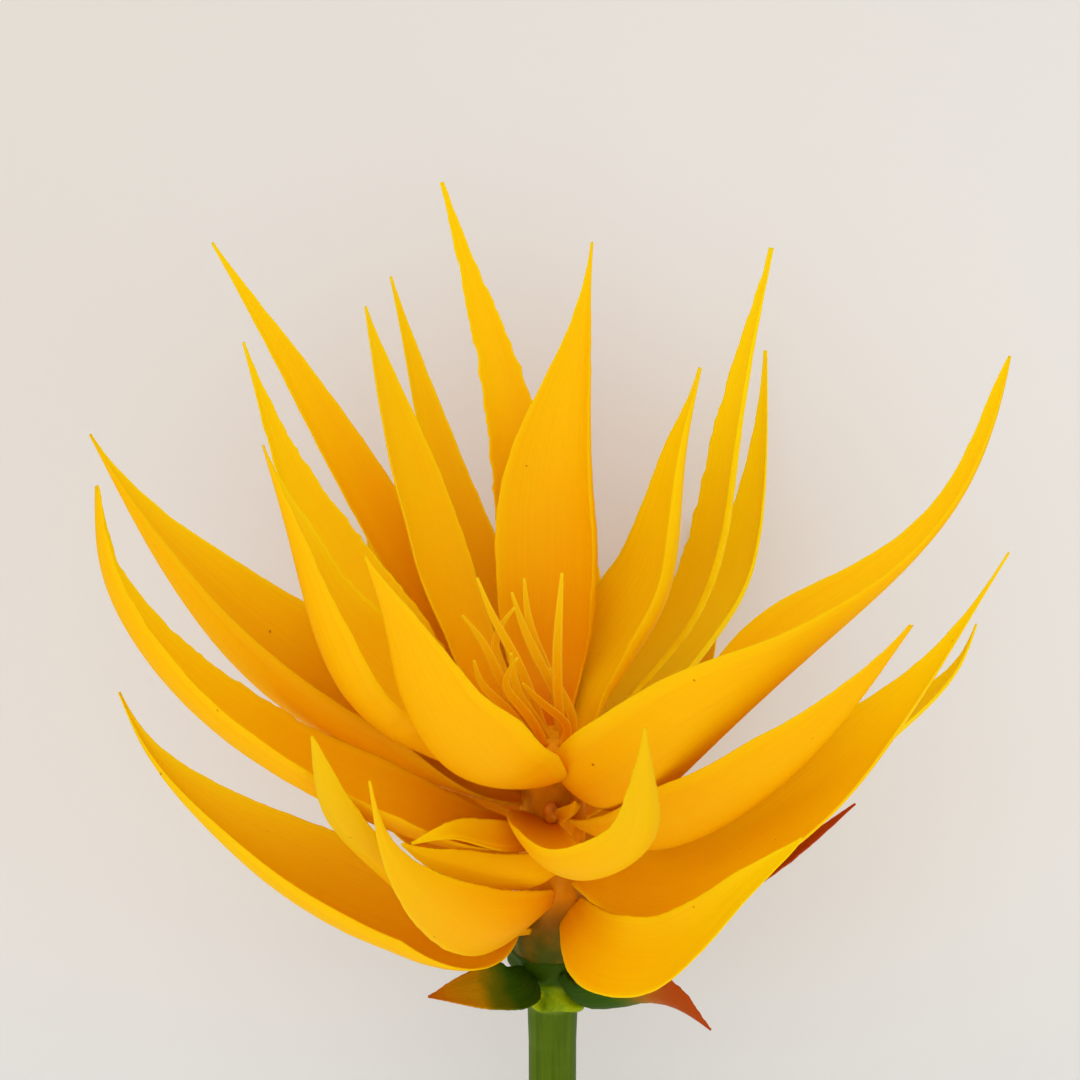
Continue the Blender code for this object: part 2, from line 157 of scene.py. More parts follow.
def spline(points, at):
    """Points of the natural cubic spline through the given points, at shares of its chord length."""
    points = np.array(points, float)
    steps = np.linalg.norm(np.diff(points, axis=0), axis=1)
    knots = np.concatenate([[0.0], np.cumsum(steps)]) / steps.sum()
    gap = np.diff(knots)
    system = np.eye(len(points))
    pull = np.zeros_like(points)
    for i in range(1, len(points) - 1):
        system[i, i - 1 : i + 2] = gap[i - 1], 2.0 * (gap[i - 1] + gap[i]), gap[i]
        slope_after = (points[i + 1] - points[i]) / gap[i]
        slope_before = (points[i] - points[i - 1]) / gap[i - 1]
        pull[i] = 6.0 * (slope_after - slope_before)
    bend = np.linalg.solve(system, pull)
    span = np.clip(np.searchsorted(knots, at, side="right") - 1, 0, len(points) - 2)
    width = gap[span][:, None]
    after = (at - knots[span])[:, None] / width
    before = 1.0 - after
    curve = (before**3 - before) * bend[span] + (after**3 - after) * bend[span + 1]
    return before * points[span] + after * points[span + 1] + curve * width**2 / 6.0


def ribbon(points, facing, roll, roll_tip, at):
    """A midrib at shares of its length, and the directions across it and out of its inner face."""
    fine = np.linspace(0.0, 1.0, SPLINE_STEPS + 1)
    line = spline(points, fine)
    tangent = unit(np.gradient(line, axis=0))
    normal = np.empty_like(line)
    carried = np.array(facing, float)
    for i, along in enumerate(tangent):
        carried = unit(carried - carried.dot(along) * along)
        normal[i] = carried
    across = np.cross(tangent, normal)
    turn = np.radians(roll + (roll_tip - roll) * fine)[:, None]
    turned_normal = normal * np.cos(turn) + across * np.sin(turn)
    turned_across = across * np.cos(turn) - normal * np.sin(turn)
    return [
        np.stack([np.interp(at, fine, values[:, axis]) for axis in range(3)], axis=1)
        for values in (line, turned_across, turned_normal)
    ]


def waves(seed, at, count, fewest, most):
    """A sum of sine waves along a line, between about -1 and 1, from fewest to most of them along it."""
    dice = np.random.default_rng(seed)
    total = np.zeros_like(at)
    for number in np.linspace(fewest, most, count):
        total += np.sin(2.0 * np.pi * (number * dice.uniform(0.8, 1.2) * at + dice.random()))
    return total / count**0.5


def half_width(share, half, widest, taper, foot, tip, late):
    """Half the width along a blade: it swells from its foot, then narrows to its tip.

    A late blade keeps some of its width just before the tip.
    """
    rise = np.minimum(share / widest, 1.0)
    fall = np.minimum((1.0 - share) / (1.0 - widest), 1.0)
    swell = foot + (1.0 - foot) * (1.0 - (1.0 - rise) ** 2)
    edge = EDGE_HALF_WIDTH + (tip - EDGE_HALF_WIDTH) * share**6
    edge = edge + late * share**5 * (1.0 - share)
    return half * swell * fall**taper * (1.0 + taper * (1.0 - fall)) + edge


def both(value):
    return value if isinstance(value, tuple) else (value, value)


def blade_surface(blade, columns, share, seed):
    """The middle surface of a blade: rows along it and columns across it, each half bent up as an arc.

    A crease bends one half further from a place across it outwards, between two places along the blade.
    """
    line, across, normal = ribbon(blade["points"], blade["facing"], blade["roll"], blade["roll_tip"], share)
    halves = []
    for side in (0, 1):
        half, widest, taper, cup = (both(blade[key])[side] for key in ("half", "widest", "taper", "cup"))
        width = half_width(share, half, widest, taper, blade["foot"], blade["tip"], blade["late"])
        bitten = sum(
            waves(seed + step + side, share, count, fewest, most) * depth
            for step, count, fewest, most, depth in BITES
        )
        width = width + bitten * np.minimum(width, BITTEN_WIDTH) * blade["ragged"]
        out = (np.arange(columns * ARC_STEPS) + 0.5) / (columns * ARC_STEPS)
        growth = np.minimum(1.0, CUP_AT_BASE + CUP_GROWTH * share)
        angle = np.radians(cup) * growth[:, None] * out[None, :]
        for crease_side, place, spread, bend, start, end in blade["creases"]:
            if crease_side == side:
                along = smooth(start, start + CREASE_FADE, share)
                along = along * (1.0 - smooth(end - CREASE_FADE, end, share))
                turn = smooth(place - spread, place + spread, out)
                angle = angle + np.radians(bend) * along[:, None] * turn[None, :]
        stride = width[:, None] / (columns * ARC_STEPS)
        sideways = np.cumsum(np.cos(angle) * stride, axis=1)[:, ARC_STEPS - 1 :: ARC_STEPS]
        lift = np.cumsum(np.sin(angle) * stride, axis=1)[:, ARC_STEPS - 1 :: ARC_STEPS]
        place = (np.arange(columns) + 1.0) / columns
        step, count, fewest, most, height = RIM_WAVE
        wave = waves(seed + step + side, share, count, fewest, most)[:, None] * place[None, :] ** 2
        lift = lift + wave * height * width[:, None] * blade["wavy"]
        sign = 1.0 if side else -1.0
        halves.append(
            line[:, None, :]
            + across[:, None, :] * (sign * sideways)[:, :, None]
            + normal[:, None, :] * lift[:, :, None]
        )
    return np.concatenate([halves[0][:, ::-1], line[:, None, :], halves[1]], axis=1)


def make_blade(name, blade, grid, seed):
    """A closed thin blade with rounded rims, as a mesh object in the upright flower's millimetres.

    Its point attribute blade holds how far from the midrib and how far along a point is, as shares, and 1 on
    the inner face or -1 on the outer. Its attribute tone holds the signed share across, the depth value,
    which paints light on a petal below 0 and shade above 0 and gives a sepal its red-brown tip, and green.
    """
    columns, rows = grid
    share = np.linspace(0.0, 1.0, rows + 1) ** ROW_SPREAD
    surface = blade_surface(blade, columns // 2, share, seed)
    out = np.linspace(-1.0, 1.0, columns + 1)
    normal = unit(np.cross(np.gradient(surface, axis=1), np.gradient(surface, axis=0)))
    rim = 1.0 - RIM_THINNING * np.abs(out) ** 4
    rib = 1.0 - RIB_SHARE + RIB_SHARE * np.exp(-((out / RIB_SPREAD) ** 2))
    thin = 1.0 - TIP_THINNING * share**2 + FOOT_THICKENING * np.exp(-share / FOOT_SPREAD)
    depth = blade["thickness"] / 2.0 * (rim * rib)[None, :] * thin[:, None]
    inner = surface + normal * depth[:, :, None]
    outer = surface - normal * depth[:, :, None]
    rims = []
    for end, before in ((-1, -2), (0, 1)):
        away = unit(surface[:, end] - surface[:, before])
        rims.append(surface[:, end] + away * depth[:, end, None])
    loops = np.concatenate([inner, rims[0][:, None], outer[:, ::-1], rims[1][:, None]], axis=1)
    size = loops.shape[1]
    corners = np.arange(size)
    after = (corners + 1) % size
    faces = [tuple(int(i) for i in corners[::-1])]
    for row in range(rows):
        low, high = row * size, (row + 1) * size
        faces += list(zip(low + corners, low + after, high + after, high + corners))
    faces.append(tuple(int(i) for i in rows * size + corners))
    mesh = bpy.data.meshes.new(name)
    mesh.from_pydata((loops.reshape(-1, 3) * MM).tolist(), [], faces)
    mesh.polygons.foreach_set("use_smooth", [True] * len(mesh.polygons))
    across = np.concatenate([np.abs(out), [1.0], np.abs(out[::-1]), [1.0]])
    side = np.concatenate([np.ones(columns + 1), [0.0], -np.ones(columns + 1), [0.0]])
    facts = np.stack([np.tile(across, rows + 1), np.repeat(share, size), np.tile(side, rows + 1)], axis=1)
    layer = mesh.attributes.new("blade", "FLOAT_VECTOR", "POINT")
    layer.data.foreach_set("vector", facts.ravel())
    signed = np.concatenate([out, [1.0], out[::-1], [-1.0]])
    tone = np.stack(
        [
            np.tile(signed, rows + 1),
            np.full(size * (rows + 1), blade["deep_and_painted_light"]),
            np.full(size * (rows + 1), blade["green"]),
        ],
        axis=1,
    )
    layer = mesh.attributes.new("tone", "FLOAT_VECTOR", "POINT")
    layer.data.foreach_set("vector", tone.ravel())
    mesh.validate()
    return add_piece(name, mesh)


def add_piece(name, mesh):
    """A piece of the flower, its mesh laid down with it. The attribute place keeps the upright place."""
    upright = np.empty(len(mesh.vertices) * 3)
    mesh.vertices.foreach_get("co", upright)
    layer = mesh.attributes.new("place", "FLOAT_VECTOR", "POINT")
    layer.data.foreach_set("vector", upright)
    mesh.transform(TO_WORLD)
    piece = bpy.data.objects.new(name, mesh)
    bpy.context.scene.collection.objects.link(piece)
    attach(piece, "root")
    return piece


def core_radius(height):
    radii, heights = zip(*reversed(RECEPTACLE_PROFILE + CALYX_PROFILE))
    return float(np.interp(height, heights, radii))


def outward(azimuth):
    return np.array([math.sin(math.radians(azimuth)), -math.cos(math.radians(azimuth)), 0.0])


# What sets single blades apart. A crease is (half, place across it, spread, bend in degrees, from, to).
# Above 0, the depth value paints shade on a petal towards its foot and gives a sepal its red-brown tip. Below
# 0 it paints light on a petal, making it all yellower.
FOLDED_RIM = ((1, 0.84, 0.05, 55.0, 0.02, 0.97),)
LOOKS = {
    "petal_upper_inner_back": {"creases": ((1, 0.9, 0.04, 50.0, 0.02, 0.97),)},
    "petal_upper_inner_right": {"creases": FOLDED_RIM, "deep_and_painted_light": -0.6, "tip": 0.45},
    "petal_upper_back_right": {"creases": FOLDED_RIM, "ragged": 1.0, "deep_and_painted_light": -1.0, "tip": 0.5},
    "petal_upper_right": {"creases": ((1, 0.86, 0.05, 35.0, 0.02, 0.97),), "deep_and_painted_light": -1.0, "tip": 0.4},
    "petal_lower_right": {"deep_and_painted_light": -0.8},
    "petal_lower_right_upper": {"deep_and_painted_light": -0.4},
    "petal_middle_front_low": {"deep_and_painted_light": -0.5},
    "petal_middle_right_folded": {"tip": 0.5},
    "petal_upper_front": {"deep_and_painted_light": 0.12},
    "petal_upper_front_right": {"late": 27.0, "deep_and_painted_light": -0.3},
    "petal_upper_outer_left": {"deep_and_painted_light": 0.1},
    "petal_upper_inner_left": {"deep_and_painted_light": -0.2},
    "petal_upper_back": {"ragged": 1.0, "tip": 0.35},
    "petal_upper_curled_left": {"ragged": 0.8, "deep_and_painted_light": -0.2},
    "petal_upper_left": {"ragged": 0.8, "deep_and_painted_light": -0.3},
    "petal_middle_left": {"ragged": 1.0, "deep_and_painted_light": -0.1, "tip": 0.6},
    "petal_lower_front": {"green": 0.25},
    "petal_lower_front_left": {"green": 0.5},
    "petal_lower_front_right": {"deep_and_painted_light": -0.4, "green": 0.25},
    "petal_middle_front": {"green": 0.5},
    "petal_middle_front_left": {"deep_and_painted_light": 0.5},
    "petal_lower_left": {"green": 0.3, "deep_and_painted_light": -0.3},
    "petal_lower_front_sliver": {"deep_and_painted_light": 0.6},
    "sepal_front": {"deep_and_painted_light": 0.9, "ragged": 1.0},
    "sepal_right": {"deep_and_painted_light": 1.0, "ragged": 1.0},
}

PLAIN = {
    "cup": 45.0,
    "widest": 0.38,
    "taper": 2.0,
    "foot": 0.25,
    "roll": 0.0,
    "creases": (),
    "ragged": 0.3,
    "wavy": 0.5,
    "tip": 0.2,
    "late": 0.0,
    "thickness": 1.0,
    "deep_and_painted_light": 0.0,
    "green": 0.0,
}


def add_petal(name, azimuth, height, through, half, kind="petal", **shape):
    """A petal or sepal from its root in the core through the points of its midrib to its tip."""
    base = outward(azimuth) * (core_radius(height) - ROOT_DEPTH) + np.array([0.0, 0.0, height])
    blade = {**PLAIN, **LOOKS.get(name, {}), "half": half, **shape}
    blade["points"] = [tuple(base), *through]
    blade["facing"] = np.array([0.0, 0.0, 1.0]) - outward(azimuth)
    blade.setdefault("roll_tip", blade["roll"])
    seed = sum(ord(letter) * (place + 1) for place, letter in enumerate(name))
    piece = make_blade(f"{name}_fine", blade, PETAL_GRID, seed)
    piece.data.materials.append(MATERIALS[kind])
    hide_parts(name)
    return piece


def add_spread_petal(name, azimuth, height, path, half, **shape):
    """A petal whose midrib is given as (distance from the axis, height, swing from the azimuth)."""
    through = []
    for distance, rise, swing in path:
        away = outward(azimuth + swing) * distance
        through.append((away[0], away[1], rise))
    add_petal(name, azimuth, height, through, half, **shape)


def add_upper_inner_petals():
    """The five petals round the filaments."""
    add_petal(
        "petal_upper_front",
        -35,
        39,
        [(-8, -13, 41), (-15, -22, 48), (-22, -28, 65), (-24, -30, 76), (-27, -31, 87)],
        half=(16, 4.5),
        cup=(60, 75),
        widest=0.36,
        taper=1.5,
        foot=0.08,
        roll=2,
    )
    add_petal(
        "petal_upper_inner_left",
        -125,
        40,
        [(-9, 7, 46), (-18, 14, 65), (-24, 19, 86), (-28.4, 20, 104.6)],
        half=(8.3, 5.6),
        widest=0.42,
        taper=(1, 1.5),
        foot=0.15,
    )
    add_petal(
        "petal_upper_inner_back",
        172,
        41,
        [(0, 12, 48), (1, 16, 60), (1, 21, 75), (4, 28, 94), (6, 33, 110)],
        half=(10, 9),
        cup=(40, 80),
        foot=0.15,
    )
    add_petal(
        "petal_upper_inner_right",
        111,
        40,
        [(7, 7, 46), (15.5, 11, 59), (19.3, 13.7, 81), (22.2, 14, 97)],
        half=(10.5, 8.3),
        cup=(40, 60),
        widest=0.34,
        taper=(1.8, 1.3),
        foot=0.15,
    )
    add_petal(
        "petal_upper_front_right",
        35,
        37,
        [(9, -14, 37), (22, -15, 47), (40.7, -8, 62.4), (61, 1, 82.3), (68, 7, 102)],
        half=(19.5, 19),
        cup=(60, 85),
        widest=(0.35, 0.22),
        taper=(4, 4.5),
        foot=0.1,
        roll=-47,
        roll_tip=45,
    )


def add_upper_middle_petals():
    """The seven petals behind the inner ones."""
    add_petal(
        "petal_upper_curled_left",
        -74,
        37.5,
        [(-18, -8, 45.5), (-31, -17, 60), (-38, -20, 84), (-42, -18, 98.5)],
        half=(11, 13),
        cup=(130, 35),
        widest=0.42,
        taper=1.6,
        foot=0.15,
        roll=-40,
    )
    add_petal(
        "petal_upper_left",
        -102,
        34,
        [(-14, 1.2, 43.7), (-25, 3, 58), (-38, 4, 80), (-46, 5, 105)],
        half=5.6,
        cup=40,
        taper=1.5,
        foot=0.15,
        roll=-30,
    )
    add_petal(
        "petal_upper_back_left",
        -130,
        33,
        [(-13, 12, 46), (-27, 18, 69), (-41, 23, 94), (-51.7, 26, 112.6)],
        half=(3.4, 5.6),
        cup=50,
        taper=1.4,
        roll=-20,
    )
    add_petal(
        "petal_upper_back_short",
        -152,
        31,
        [(-6, 18, 45), (-13, 27, 60), (-21.6, 37, 87), (-25.2, 40, 101.5)],
        half=(4.3, 4.8),
        cup=50,
        taper=1.5,
    )
    add_petal(
        "petal_upper_back",
        -175,
        36,
        [(-2, 17, 49), (-4, 25, 67), (-7.5, 33, 86), (-12, 38, 100), (-17.2, 43, 116)],
        half=(5.2, 4.4),
        taper=1.5,
    )
    add_petal(
        "petal_upper_back_right",
        130,
        36,
        [(10, 13, 41), (22, 21, 54), (28, 27, 79), (33.7, 34, 108.6)],
        half=(5.2, 5),
        cup=50,
        taper=1.4,
    )
    add_petal(
        "petal_upper_right",
        142,
        31,
        [(15, 22, 40), (28, 32, 51), (33, 38, 68), (33.5, 43, 87.8)],
        half=(6, 10),
        cup=50,
        widest=(0.38, 0.22),
        taper=(1.5, 2.6),
        foot=0.15,
    )


def add_upper_outer_petals():
    """The three broad petals at the sides of the upper tier."""
    add_petal(
        "petal_upper_outer_left",
        -92,
        31,
        [(-17, -3, 37.5), (-42.7, -8, 55.5), (-62.2, -5, 81.6), (-68.6, -2, 93.2)],
        half=(11.5, 13.5),
        cup=(150, 45),
        widest=0.45,
        taper=1.7,
        foot=0.1,
        roll=-28,
    )
    add_petal(
        "petal_middle_left",
        -62,
        27,
        [(-12, -12, 30.5), (-38, -22, 46.4), (-57.4, -27, 67), (-65, -27, 83.5), (-65.4, -27, 96)],
        half=(8, 9.6),
        cup=(100, 35),
        widest=(0.5, 0.3),
        taper=0.9,
        foot=0.08,
        roll=-15,
    )
    add_petal(
        "petal_middle_right_folded",
        60,
        28,
        [(14, -13.5, 30), (27, -19, 39), (44, -21, 58), (52.5, -20, 70.5)],
        half=(7, 11),
        cup=(60, 50),
        widest=0.32,
        taper=(1.7, 1.5),
        roll=-50,
    )


def add_middle_front_petals():
    """The narrow petal that bends up at the front, and the short ones about its foot."""
    add_petal(
        "petal_middle_front",
        -24,
        29.5,
        [(-2, -15, 32), (4, -32, 35), (12, -38, 43), (13.4, -41, 53), (13, -42, 65)],
        half=(5.5, 7.5),
        cup=60,
        taper=1.3,
        foot=0.4,
    )
    add_petal(
        "petal_middle_front_short",
        18,
        30,
        [(2.6, -10, 34), (3.3, -14.5, 38.3)],
        half=1.8,
        cup=50,
        widest=0.5,
        foot=0.4,
    )
    add_petal(
        "petal_middle_front_left",
        -35,
        25.5,
        [(-8.5, -14, 30.5), (-13, -18.6, 34.3), (-17, -23.5, 37.2), (-21, -26.5, 37.7)],
        half=(0.6, 3.7),
        cup=30,
        widest=0.3,
        taper=1.2,
        foot=0.4,
        roll=-50,
    )
    add_petal(
        "petal_middle_front_low",
        30,
        23.6,
        [(-2.5, -12, 24.9), (-8.1, -16.6, 27.1), (-14, -21.2, 31.1), (-18.3, -26, 35), (-22.3, -31, 40.1)],
        half=(2.7, 2.6),
        cup=30,
        widest=0.3,
        taper=1.2,
        foot=0.4,
        roll=50,
    )


def add_middle_back_petals():
    """The five petals of the middle tier that the front ones hide."""
    shape = {"widest": 0.55, "foot": 0.1}
    add_spread_petal(
        "petal_middle_back_1", 144, 25, [(14, 26, 0), (30, 34, 0), (42, 43, 0), (47, 51, 0)], 6.4, **shape
    )
    add_spread_petal(
        "petal_middle_back_2", 173, 26, [(14, 27, 0), (30, 38, 0), (42, 51, 0), (46, 60, 0)], 6.4, **shape
    )
    add_spread_petal(
        "petal_middle_back_3", -162, 27, [(14, 28.5, 0), (29, 40, 0), (42, 53, 0), (46, 61, 0)], 6, **shape
    )
    add_spread_petal(
        "petal_middle_back_4", -132, 26, [(14, 28, 0), (30, 40, 0), (42, 54, 0), (47, 64, 0)], 6.8, **shape
    )
    add_spread_petal(
        "petal_middle_back_5", -105, 24, [(14, 25.5, 0), (31, 35, -3), (44, 47, -3), (50, 57, 0)], 7, **shape
    )


def add_lower_front_petals():
    """The petals of the lower tier at the front and the sides."""
    add_petal(
        "petal_lower_right_upper",
        75,
        20,
        [(13, -8, 20), (37, -15, 36), (57, -15, 62), (67, -13, 79)],
        half=(9.5, 10),
        widest=0.45,
        taper=(2.6, 2.4),
        foot=0.32,
        roll=8,
    )
    add_petal(
        "petal_lower_right",
        95,
        16,
        [(17, 1, 16), (33, 1, 25), (53.5, 2, 43), (62.2, 3.5, 52.6), (64.4, 4, 59)],
        half=(8, 11),
        taper=1.5,
        foot=0.15,
    )
    add_petal(
        "petal_lower_front_right",
        32,
        14,
        [(7, -17, 14), (16, -28, 19), (27, -37, 35), (36, -40, 46)],
        half=(6.5, 6.2),
        cup=(50, 20),
        widest=0.35,
        taper=(1.3, 0.7),
        foot=0.35,
        roll=30,
    )
    add_petal(
        "petal_lower_front_sliver",
        60,
        13,
        [(10.5, -12.5, 14.3), (17, -19.3, 18.2), (23, -22.7, 22.5)],
        half=2.4,
        cup=40,
    )
    add_petal(
        "petal_lower_left",
        -88,
        12,
        [(-14, -9, 12), (-28, -12, 18), (-51.6, -16, 37), (-61.7, -12.8, 48), (-65, -11, 55)],
        half=(12, 9),
        cup=(125, 50),
        taper=(1.9, 1.7),
        foot=0.1,
        roll=-20,
    )
    add_petal(
        "petal_lower_front_left",
        -38,
        10.5,
        [(-13, -13, 15), (-24, -21, 29), (-33, -32.5, 48.8), (-35, -35, 60)],
        half=(3, 2.6),
        cup=(50, 30),
        widest=(0.7, 0.6),
        taper=(1, 1.2),
        foot=0.1,
        roll=25,
    )
    add_petal(
        "petal_lower_front",
        -9,
        15.5,
        [(-8, -19.5, 18.9), (-14.8, -27.5, 26.1), (-21, -34.8, 36.1), (-24.5, -39, 45), (-26.5, -41, 55.9)],
        half=6.3,
        cup=30,
        widest=0.25,
        taper=(2.1, 2.1),
        foot=0.35,
        roll=50,
    )


def add_lower_back_petals():
    """The five hidden petals of the lower tier. The flower rests on the second and the fourth."""
    shape = {"widest": 0.5, "foot": 0.12}
    add_spread_petal(
        "petal_lower_back_1", 121, 14, [(16, 14, 0), (34, 17, 0), (48, 24, 0), (52, 28, 0)], 7.6, **shape
    )
    add_spread_petal(
        "petal_lower_back_2", 156, 13, [(16, 13, 0), (37, 24, 0), (52.9, 40, 0), (56.7, 54, 0)], 9, **shape
    )
    add_spread_petal(
        "petal_lower_back_3", 180, 14, [(15, 15, 0), (34, 27, 4), (48, 46, 6), (52, 66, 4)], 8, **shape
    )
    add_spread_petal(
        "petal_lower_back_4", -152, 13, [(16, 13, 0), (38, 25, 0), (56, 43, 1), (60, 58, 3)], 9, **shape
    )
    add_spread_petal(
        "petal_lower_back_5", -119, 14, [(16, 15, 0), (39, 27, -4), (55, 44, -4), (61, 56, 0)], 6.5, **shape
    )


def add_sepals():
    """The short green blades under the petals."""
    shape = {"taper": 1.3, "kind": "sepal"}
    path = [(-5, -9, 3), (-12, -15, 5), (-19, -19, 7)]
    add_petal("sepal_front_left", -45, 3, path, half=(3.8, 4.5), cup=30, **shape)
    path = [(3, -8, 1), (13, -13, 4), (24, -22, 3)]
    add_petal("sepal_front", 12, 3, path, half=(5.5, 5), widest=0.6, cup=(60, 30), **shape)
    path = [(13, -8, 12.5), (26, -9, 18.6), (46.5, -1, 30.7)]
    add_petal("sepal_right", 75, 7, path, half=4, cup=30, **shape)
    hidden = {"cup": 30, "foot": 0.15}
    add_spread_petal("sepal_back_right", 150, 4, [(12, 5, 0), (22, 9, 4), (31, 15, 0)], 5, **shape, **hidden)
    add_spread_petal("sepal_back_left", -130, 4, [(12, 4, 0), (22, 9, -4), (30, 16, 0)], 5, **shape, **hidden)


FILAMENT_ROOT_HEIGHT = 42.0
FILAMENT = {
    "half": 0.45,
    "cup": 35.0,
    "widest": 0.45,
    "taper": 1.2,
    "foot": 0.4,
    "thickness": 0.7,
    "ragged": 0.0,
    "wavy": 0.0,
}


def add_filament(number, root, through):
    """A pointed strap from its root on the crown to its tip, its face to the front."""
    blade = {**PLAIN, **FILAMENT}
    blade["points"] = [(*root, FILAMENT_ROOT_HEIGHT), *through]
    blade["facing"] = (0.0, -1.0, 0.0)
    blade["roll_tip"] = 0.0
    name = f"filament_{number:02d}"
    piece = make_blade(f"{name}_fine", blade, FILAMENT_GRID, number)
    piece.data.materials.append(MATERIALS["filament"])
    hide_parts(name)


def add_filaments():
    """The tuft at the crown, from the front filament to the back one."""
    add_filament(1, (1.3, -3.4), [(2.2, -4, 45), (-0.8, -6, 50), (-4.6, -8, 55)])
    add_filament(2, (-1.2, -3.2), [(-2.8, -4.4, 46), (-5, -5.6, 50), (-7.1, -6.6, 54), (-5.4, -7.4, 59)])
    add_filament(3, (-3.0, -2.2), [(-5, -3, 45.5), (-8.1, -4.4, 50), (-10.9, -5.6, 54), (-11.9, -6.4, 58)])
    add_filament(4, (-0.7, -1.6), [(-2.7, -2.1, 46), (-4.9, -2.9, 50), (-6.4, -3.8, 58)])
    add_filament(5, (1.7, -1.9), [(0.9, -2.4, 48), (0.6, -2.4, 56), (1.3, -1, 70)])
    add_filament(6, (-3.2, -0.6), [(-5.4, -1.4, 47), (-8.1, -2, 53), (-11, -2.8, 60), (-13.7, -3.2, 64)])
    add_filament(7, (-1, -0.5), [(-3.2, -0.6, 49), (-6.4, -0.5, 57), (-9, 0.2, 62), (-11.5, 1.6, 68)])
    add_filament(8, (-2.9, 0.8), [(-5.6, 1.3, 46), (-8.6, 1.6, 53), (-8.3, 1.7, 59), (-5.8, 1.6, 63)])
    add_filament(9, (3.1, 0.1), [(2.9, 0.5, 45), (1.7, 0.8, 48), (-0.5, 1.1, 53)])
    add_filament(10, (0.8, 0.9), [(0.6, 1.9, 47), (-2, 3, 53), (-4.3, 4, 58), (-6.3, 4.8, 64)])
    add_filament(11, (-1.8, 2.3), [(-4.6, 3, 45), (-7, 3.2, 48.5), (-8.3, 3.4, 53)])
    add_filament(12, (0.9, 2.7), [(0, 4.2, 48), (-3.3, 6, 57), (-4.4, 7.6, 65)])


def make_turned(name, profile, fineness, shape, middle=(0.0, 0.0)):
    """A closed turned form with a fine skin.

    shape(azimuth, height, radius) gives the radius at each place.
    """
    around, height_step = fineness
    radii, heights = zip(*profile)
    count = max(FEWEST_ROWS, int((heights[0] - heights[-1]) / height_step))
    level = np.linspace(heights[0], heights[-1], count + 1)
    radius = np.interp(-level, [-h for h in heights], radii)
    azimuth = np.arange(around) / around * 2.0 * np.pi
    wide = shape(azimuth[None, :], level[:, None], radius[:, None]) + np.zeros((1, around))
    height = np.broadcast_to(level[:, None], wide.shape)
    points = np.stack([wide * np.sin(azimuth), -wide * np.cos(azimuth), height], axis=2).reshape(-1, 3)
    ends = np.array([[0.0, 0.0, level[0]], [0.0, 0.0, level[-1]]])
    corners = np.arange(around)
    after = (corners + 1) % around
    faces = [(int(count * around + around), int(i), int(j)) for i, j in zip(corners, after)]
    for row in range(count):
        low, high = row * around, (row + 1) * around
        faces += list(zip(low + corners, high + corners, high + after, low + after))
    last = count * around
    faces += [(last + around + 1, int(last + j), int(last + i)) for i, j in zip(corners, after)]
    mesh = bpy.data.meshes.new(name)
    points = np.concatenate([points, ends]) + np.array([*middle, 0.0])
    mesh.from_pydata((points * MM).tolist(), [], faces)
    mesh.polygons.foreach_set("use_smooth", [True] * len(mesh.polygons))
    mesh.validate()
    return add_piece(name, mesh)


def receptacle_shape(azimuth, height, radius):
    """Low lumps, just inside the solid."""
    lumps = 0.18 * np.sin(5.0 * azimuth + height * 0.7) + 0.12 * np.sin(11.0 * azimuth - height * 1.1)
    return radius - 0.15 + lumps * smooth(43.0, 38.0, height)


def calyx_shape(azimuth, height, radius):
    """Folds, and a ledge of lobes above the stem."""
    folds = 0.35 * np.sin(4.0 * azimuth + 0.5 * height) + 0.3 * np.sin(9.0 * azimuth - 1.3 * height)
    lobes = 1.0 + 0.35 * np.sin(3.0 * azimuth + 0.8) + 0.25 * np.sin(7.0 * azimuth + 0.9 * height)
    ledge = 2.1 * smooth(-4.0, -2.6, height) * smooth(0.6, -2.2, height) * lobes
    return radius + 0.1 + folds * smooth(-4.2, -1.0, height) * smooth(5.3, 3.0, height) + ledge


def stem_shape(azimuth, height, radius):
    """Faint ribs that fade out at the top."""
    ribs = 0.03 * np.sin(17.0 * azimuth) + 0.05 * np.sin(3.0 * azimuth + height * 0.02)
    return radius + ribs * smooth(-4.0, -9.0, height)


def add_core():
    """The receptacle, the calyx and the stem."""
    receptacle = make_turned("receptacle_fine", RECEPTACLE_PROFILE, RECEPTACLE_FINENESS, receptacle_shape)
    receptacle.data.materials.append(MATERIALS["receptacle"])
    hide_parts("receptacle")
    calyx = make_turned("calyx_fine", CALYX_SKIN, CALYX_FINENESS, calyx_shape)
    calyx.data.materials.append(MATERIALS["calyx"])
    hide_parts("calyx")
    stem = make_turned("stem_fine", STEM_SKIN, STEM_FINENESS, stem_shape)
    stem.data.materials.append(MATERIALS["stem"])
    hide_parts("stem")


def bud_shape(azimuth, height, radius):
    return radius


def add_bud():
    """The small closed bud between two front petals."""
    angles = np.linspace(BUD_END_ANGLE, np.pi - BUD_END_ANGLE, BUD_PROFILE_STEPS + 1)
    profile = [(BUD_RADIUS * math.sin(a), BUD_CENTRE[2] + BUD_HALF_LENGTH * math.cos(a)) for a in angles]
    bud = make_turned("bud_fine", profile, BUD_FINENESS, bud_shape, BUD_CENTRE[:2])
    bud.data.materials.append(MATERIALS["bud"])
    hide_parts("bud")


# How light spreads under a skin: its share of red, green and blue, and how deep in metres
GLOW_RADIUS = (1.0, 0.4, 0.05)
PETAL_GLOW_RADIUS = (1.0, 0.5, 0.02)
STEM_GLOW_RADIUS = (0.4, 1.0, 0.05)
GLOW_DEPTH = 0.0015


